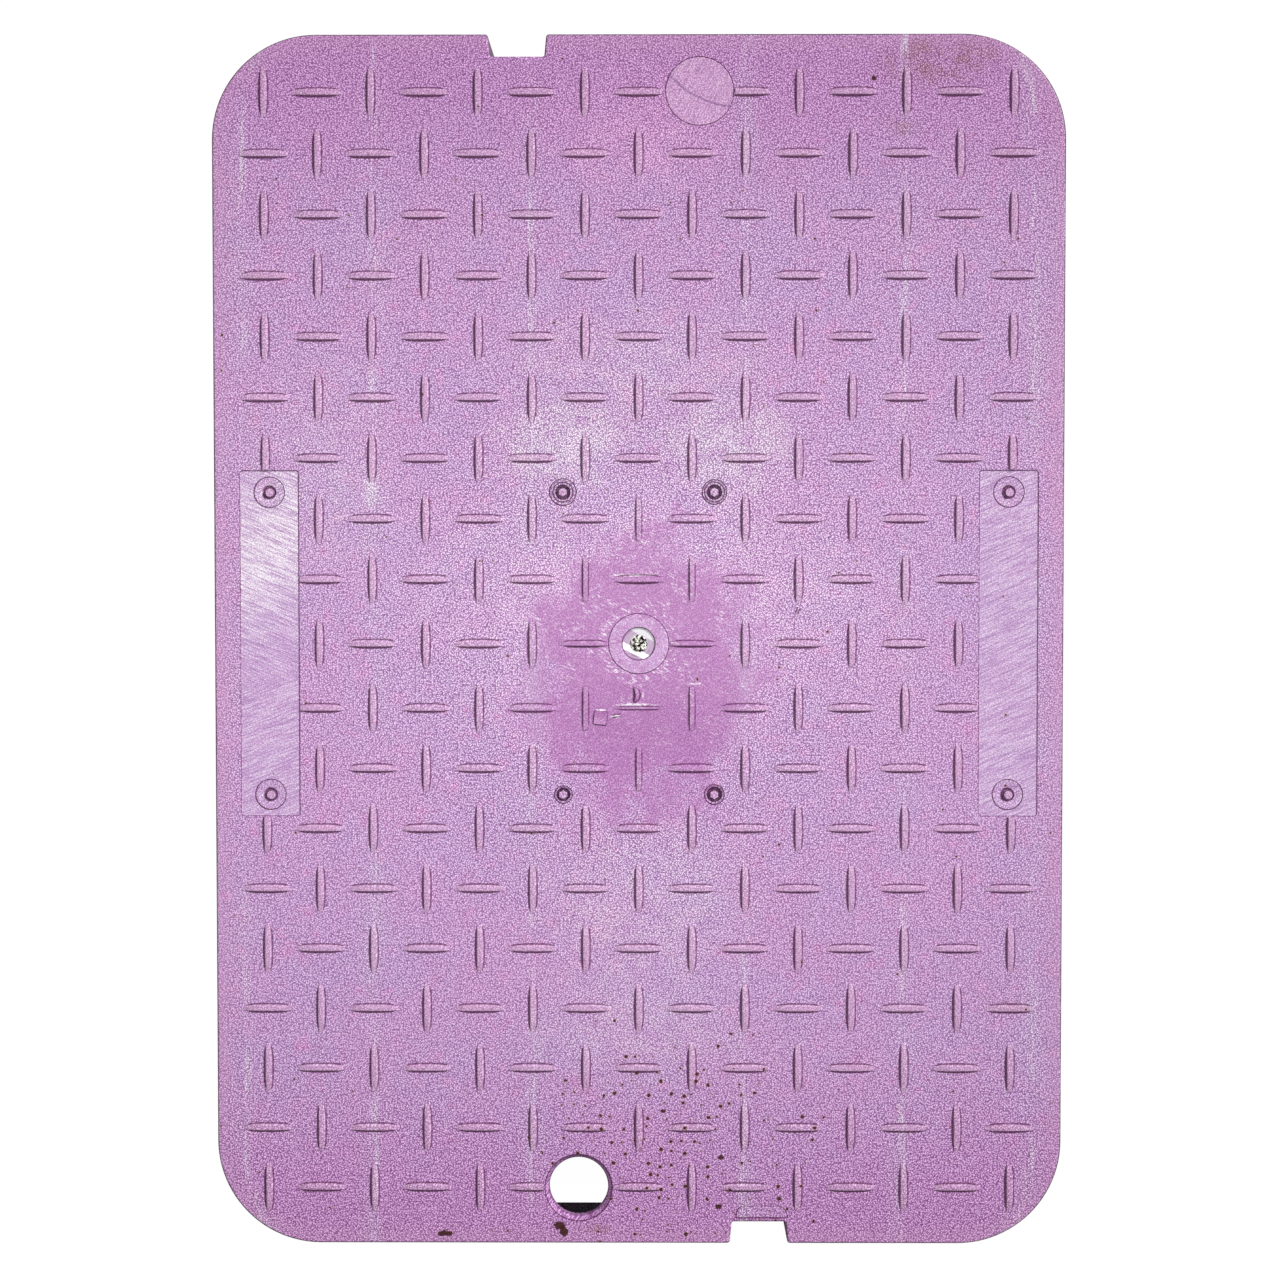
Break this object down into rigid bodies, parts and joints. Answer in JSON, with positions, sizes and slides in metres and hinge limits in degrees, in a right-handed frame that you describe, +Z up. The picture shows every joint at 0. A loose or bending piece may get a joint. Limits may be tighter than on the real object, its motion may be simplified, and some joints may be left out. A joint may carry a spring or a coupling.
{
  "type": "meter box cover",
  "caption": "Rectangular moulded plastic cover for an underground meter box, with a raised tread of crossing bars, a pull hole, pry notches and a ribbed underside.",
  "frame": {"origin": "under the middle of the cover, on the surface that its outer wall stands on", "axes": "+Z up through the plate, +Y along the cover towards the blank plug, +X across it to the right as the picture shows it"},
  "size_m": [0.2986, 0.4256, 0.0389],
  "materials": {
    "cover_plastic": "grained lavender polyethylene, scuffed and slightly dirty"
  },
  "bodies": {
    "root": {"cover": "cover_plastic"}
  },
  "joints": []
}
